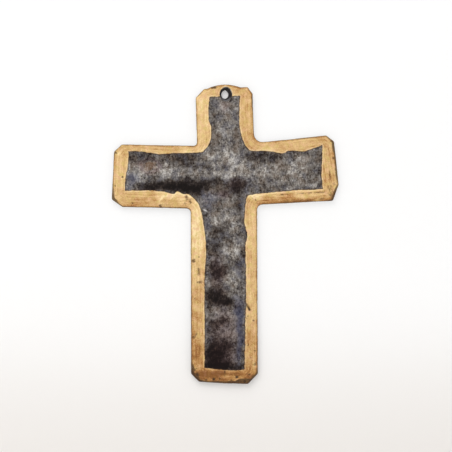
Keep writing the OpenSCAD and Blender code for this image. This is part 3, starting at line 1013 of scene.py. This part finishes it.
def bare_iron():
    """The back and the sheared edge: plain dark iron with a thin bloom of brown rust."""
    n = Nodes(bpy.data.materials.new("bare_iron"))
    fine = n.grain(0.36, 2, 0.65)
    mottle = n.grain(1.6, 4, 0.6, offset=7)
    cloud = n.grain(9, 3, 0.55, offset=19)
    light = n.sum((fine, 0.7), (mottle, 0.6), (cloud, 0.5), -0.45)
    colour = n.ramp(light, (0, 30, 23, 20), (0.35, 66, 56, 51),
                    (0.65, 102, 93, 87), (1, 142, 134, 127))
    rust = n.ease(n.sum((cloud, 0.8), (mottle, 0.6), (fine, 0.2), -0.3), 0.55, 0.8)
    rust_colour = n.ramp(fine, (0.3, 74, 44, 26), (0.7, 132, 84, 48))
    rough = n.sum((rust, 0.15), (fine, 0.2), 0.5)
    height = n.sum((fine, 0.5), (mottle, 0.8), (rust, 0.5))
    metallic = n.sum((rust, -0.2), 0.3)
    colour = n.mix(n.product(rust, 0.8), colour, rust_colour)
    return n.metal(colour, rough, metallic, height, bump_mm=0.04, specular=0.3)


# ---- stage, light and camera

view_height = 144.6  # height of the picture at the plate, in mm
camera_distance = 520
aim = (0.25, 2.65)  # how far right of and above the plate's middle the camera looks
key_place = (-180, -420, 460)  # the lamp's place from the plate's middle, in mm
key_size = 520  # across the lamp, in mm
key_power = 1.75  # in watts
world_light = 0.74  # strength of the soft light from all round
floor_drop = 160  # how far the floor is below the foot
floor_half, wall_half = 3000, 1000
wall_gap = 0.3  # gap between the plate's back and the wall

# Heights and distances on the wall are from the plate's middle, apart from hole_shade's.
wall_fade = (108, 150)  # the wall fades into the white round it between these distances
# Painted light on the wall: brighter and whiter towards the top, where the light comes from.
wall_warms = (-80, -8)  # heights between which the wall turns from warm to white
wall_whitens = (-52, -5)  # heights between which it turns brighter
wall_whiteness = (0.15, 0.62)  # share of plain white in it, below and above those heights
hole_shade = (1.5, 2.8)  # distances from the hole's centre between which that share fills up
hole_whiteness = 0.4  # how much of it shows behind the hole
wall_colours = (srgb(236, 231, 226), srgb(254, 253, 252))
floor_colour = srgb(250, 249, 247)
floor_whiteness = 0.6
WHITE = (1, 1, 1, 1)


def floor_material():
    n = Nodes(bpy.data.materials.new("pale_floor"))
    shade = n.shader("ShaderNodeBsdfDiffuse", Color=floor_colour)
    share = n.product(n.sees_background(), floor_whiteness)
    return n.end(n.blend(share, shade, n.shader("ShaderNodeEmission", Color=WHITE)))


def wall_material(middle):
    """A pale wall that only the camera sees, warmer low down and bright white higher up: painted light,
    brighter towards the top, where the light comes from.

    It shows from its front, so that it never hides the plate's back or takes light from it,
    and it melts away into the white world further out. It is less white behind the hole."""
    n = Nodes(bpy.data.materials.new("pale_wall"))
    place = n.here()
    height = n.make("ShaderNodeSeparateXYZ", {0: place})[2]
    colour = n.mix(n.ease(height, *wall_warms), *wall_colours)
    from_hole = n.distance(place, (-middle[0], 0, -middle[2]))
    past_hole = n.ease(from_hole, *hole_shade, hole_whiteness, 1)
    share = n.product(n.ease(height, *wall_whitens, *wall_whiteness), past_hole)
    lit = n.blend(share, n.shader("ShaderNodeBsdfDiffuse", Color=colour),
                  n.shader("ShaderNodeEmission", Color=WHITE))
    near = n.ease(n.distance(place, (0, 0, 0)), wall_fade[1], wall_fade[0])
    seen = n.product(n.make("ShaderNodeLightPath")["Is Camera Ray"], near)
    shown = n.product(seen, n.math("SUBTRACT", 1, n.make("ShaderNodeNewGeometry")["Backfacing"]))
    return n.end(n.blend(shown, n.shader("ShaderNodeBsdfTransparent", Color=WHITE), lit))


def plane(name, centre, half, upright, material):
    """A square plane facing up, or facing the front where it is upright. Centre is in mm."""
    corners = [(a * half * MM, b * half * MM) for a, b in ((-1, -1), (1, -1), (1, 1), (-1, 1))]
    me = bpy.data.meshes.new(name)
    me.from_pydata([(x, 0, y) if upright else (x, y, 0) for x, y in corners], [], [(0, 1, 2, 3)])
    me.materials.append(material)
    add_object(name, me, centre)


def white_world(light):
    """A world that gives soft light of this strength and looks white where it is seen."""
    n = Nodes(bpy.data.worlds.new("studio"))
    strength = n.sum((n.sees_background(), 1 - light), light)
    background = n.shader("ShaderNodeBackground", Color=WHITE, Strength=strength)
    bpy.context.scene.world = n.end(background, "ShaderNodeOutputWorld")


def set_stage():
    low, high = (np.array(corner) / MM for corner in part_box("cross_plate"))
    middle = (low + high) / 2

    camera = bpy.data.cameras.new("camera")
    camera.sensor_width = 36
    camera.lens = camera.sensor_width * camera_distance / view_height
    camera.clip_start = 0.01
    place = (middle[0] + aim[0], low[1] - camera_distance, middle[2] + aim[1])
    ob = add_object("camera", camera, place)
    ob.rotation_euler = (math.pi / 2, 0, 0)
    bpy.context.scene.camera = ob

    plane("wall", (middle[0], wall_gap, middle[2]), wall_half, True, wall_material(middle))
    plane("floor", (middle[0], 0, low[2] - floor_drop), floor_half, False, floor_material())
    white_world(world_light)
    light = bpy.data.lights.new("key", "AREA")
    light.shape = "DISK"
    light.size = key_size * MM
    light.energy = key_power
    ob = add_object("key", light, middle + key_place)
    ob.rotation_euler = Vector(key_place).to_track_quat("Z", "Y").to_euler()
    bpy.context.scene.view_settings.view_transform = "Standard"


set_stage()
cross = plate_object(build_plate())
cross.data.materials.append(painted_front())
cross.data.materials.append(bare_iron())
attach(cross, "root")
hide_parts("cross_plate")
plate.data.materials[0] = cross.data.materials[1]
